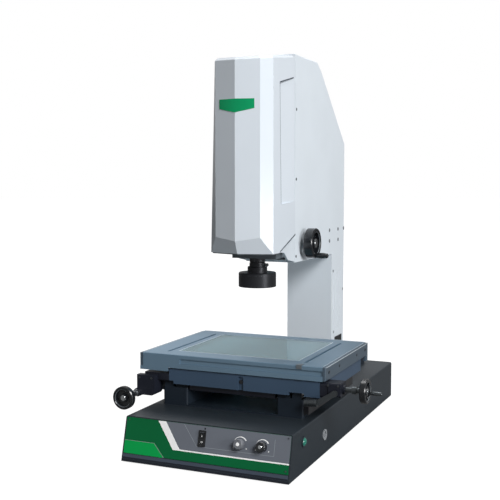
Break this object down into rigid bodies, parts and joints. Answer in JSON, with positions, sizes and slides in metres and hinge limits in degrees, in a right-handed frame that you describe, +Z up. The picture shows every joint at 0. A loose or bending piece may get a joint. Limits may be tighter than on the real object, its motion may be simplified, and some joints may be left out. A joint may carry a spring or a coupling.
{
  "type": "vision measuring machine",
  "caption": "Bench vision measuring machine: column and head with camera, zoom lens and ring light over a glass cross table moved by handwheels, on a base with switch and dimmers.",
  "frame": {"origin": "on the floor below the middle of the overall outline", "axes": "+Z up, +Y to the rear, +X to the right seen from the front"},
  "size_m": [0.531, 0.744, 0.82],
  "materials": {
    "painted_light": "fine textured paint, pale grey blue",
    "painted_cover": "satin paint, very pale blue",
    "painted_dark": "fine textured paint, charcoal",
    "casting_dark": "satin paint over a casting, blue black",
    "table_plate": "anodised, dark steel blue, satin",
    "panel_green": "printed panel, dark and bright green",
    "sill_green": "satin",
    "steel": "ground steel",
    "steel_rail": "ground and hardened",
    "black_plastic": "semi gloss black",
    "matte_black": "matte black",
    "anodised_black": "black anodised, satin",
    "anodised_grey": "clear anodised",
    "pale_plastic": "matte pale grey",
    "glass_plate": "clear plate glass",
    "lamp_lens": "frosted lens",
    "green_button": "translucent green dome",
    "bronze_nut": "turned bronze",
    "rubber_black": "matte rubber",
    "zinc_sheet": "zinc plated sheet"
  },
  "bodies": {
    "machine": {"base_housing": "painted_dark", "front_cover": "painted_dark", "front_panel": "panel_green", "front_sill": "sill_green", "bottom_plate": "zinc_sheet", "rubber_feet": "rubber_black", "bed": "casting_dark", "y_rails": "steel_rail", "y_scale": "anodised_grey", "y_nut": "anodised_black", "backlight_housing": "anodised_black", "backlight_lens": "lamp_lens", "power_supply": "zinc_sheet", "mains_inlet": "matte_black", "signal_socket": "pale_plastic", "switch_frame": "matte_black", "dimmer_pots": "matte_black", "column": "painted_light", "rear_cover": "painted_light", "z_backbone": "casting_dark", "z_rails": "steel_rail"},
    "rocker": {"power_rocker": "black_plastic"},
    "left_dimmer": {"dimmer_knob_left": "black_plastic"},
    "right_dimmer": {"dimmer_knob_right": "black_plastic"},
    "button": {"lamp_button": "green_button"},
    "saddle_unit": {"saddle": "casting_dark", "saddle_end_cap": "casting_dark", "x_rails": "steel_rail", "y_bearings": "steel_rail", "x_drive_block": "anodised_black", "y_drive_bracket": "anodised_black", "x_scale": "anodised_grey"},
    "x_drive": {"x_drive_screw": "steel", "x_handwheel": "black_plastic"},
    "x_grip": {"x_crank_grip": "steel"},
    "x_lever": {"x_release_lever": "anodised_grey"},
    "y_drive": {"y_drive_screw": "steel", "y_handwheel": "black_plastic"},
    "saddle_lock_screw": {"saddle_lock": "matte_black"},
    "table": {"table_frame": "table_plate", "stage_glass": "glass_plate", "x_bearings": "steel_rail", "x_nut": "bronze_nut", "table_end_plates": "table_plate", "glass_clip": "anodised_grey"},
    "z_lead_screw": {"z_screw": "steel"},
    "z_drive": {"z_drive_shaft": "steel", "z_handwheel": "black_plastic"},
    "z_grip": {"z_crank_grip": "black_plastic"},
    "head": {"z_carriage": "casting_dark", "z_bearings": "steel_rail", "z_nut": "bronze_nut", "head_cover": "painted_cover", "head_chin": "painted_light", "head_base_plate": "painted_dark", "camera": "anodised_black", "zoom_lens": "anodised_black", "ring_light": "anodised_black"},
    "zoom": {"zoom_ring": "anodised_black"},
    "light_screw": {"ring_light_screw": "steel"}
  },
  "joints": [
    {"name": "y_travel", "type": "slide", "parent": "machine", "child": "saddle_unit", "axis": [0, 1, 0], "range_m": [-0.05, 0.05]},
    {"name": "x_travel", "type": "slide", "parent": "saddle_unit", "child": "table", "axis": [1, 0, 0], "range_m": [-0.1, 0.062]},
    {"name": "z_travel", "type": "slide", "parent": "machine", "child": "head", "axis": [0, 0, 1], "range_m": [-0.04, 0.11]},
    {"name": "x_wheel_turn", "type": "hinge", "parent": "saddle_unit", "child": "x_drive", "pos_m": [0.2305, -0.23, 0.152], "axis": [1, 0, 0], "range_deg": [-448, 721]},
    {"name": "x_grip_spin", "type": "hinge", "parent": "x_drive", "child": "x_grip", "pos_m": [0.2535, -0.2145, 0.1455], "axis": [1, 0, 0], "continuous": true},
    {"name": "x_lever_turn", "type": "hinge", "parent": "saddle_unit", "child": "x_lever", "pos_m": [0.1825, -0.25, 0.147], "axis": [0, 1, 0], "range_deg": [0, 25]},
    {"name": "y_wheel_turn", "type": "hinge", "parent": "saddle_unit", "child": "y_drive", "pos_m": [-0.242, -0.306, 0.112], "axis": [0, 1, 0], "range_deg": [-361, 361]},
    {"name": "saddle_lock_turn", "type": "hinge", "parent": "saddle_unit", "child": "saddle_lock_screw", "pos_m": [-0.0135, -0.242, 0.151], "axis": [0, 1, 0], "range_deg": [-90, 180]},
    {"name": "z_screw_turn", "type": "hinge", "parent": "machine", "child": "z_lead_screw", "pos_m": [-0.0385, 0.023, 0.6], "axis": [0, 0, 1], "range_deg": [-1585, 577]},
    {"name": "z_wheel_turn", "type": "hinge", "parent": "machine", "child": "z_drive", "pos_m": [0.0215, 0.023, 0.412], "axis": [1, 0, 0], "range_deg": [-577, 1585]},
    {"name": "z_grip_spin", "type": "hinge", "parent": "z_drive", "child": "z_grip", "pos_m": [0.0615, 0.019, 0.385], "axis": [1, 0, 0], "continuous": true},
    {"name": "zoom_turn", "type": "hinge", "parent": "head", "child": "zoom", "pos_m": [-0.0385, -0.102, 0.384], "axis": [0, 0, 1], "range_deg": [-60, 60]},
    {"name": "light_screw_turn", "type": "hinge", "parent": "head", "child": "light_screw", "pos_m": [-0.0215, -0.102, 0.372], "axis": [1, 0, 0], "range_deg": [-180, 180]},
    {"name": "rocker_tilt", "type": "hinge", "parent": "machine", "child": "rocker", "pos_m": [-0.0445, -0.35369, 0.06179], "axis": [1, 0, 0], "range_deg": [-16, 0]},
    {"name": "left_dimmer_turn", "type": "hinge", "parent": "machine", "child": "left_dimmer", "pos_m": [0.0345, -0.35697, 0.06109], "axis": [0, -0.9681, 0.2506], "range_deg": [-150, 120]},
    {"name": "right_dimmer_turn", "type": "hinge", "parent": "machine", "child": "right_dimmer", "pos_m": [0.079, -0.35697, 0.06109], "axis": [0, -0.9681, 0.2506], "range_deg": [-150, 120]},
    {"name": "button_press", "type": "slide", "parent": "machine", "child": "button", "axis": [-1, 0, 0], "range_m": [0, 0.002], "stiffness_N_per_m": 400, "springref_m": -0.001}
  ],
  "couplings": [
    {"joint": "x_wheel_turn", "follows": "x_travel", "rad_per_m": -125.66},
    {"joint": "y_wheel_turn", "follows": "y_travel", "rad_per_m": 125.66},
    {"joint": "z_screw_turn", "follows": "z_travel", "rad_per_m": -251.33},
    {"joint": "z_wheel_turn", "follows": "z_travel", "rad_per_m": 251.33}
  ]
}
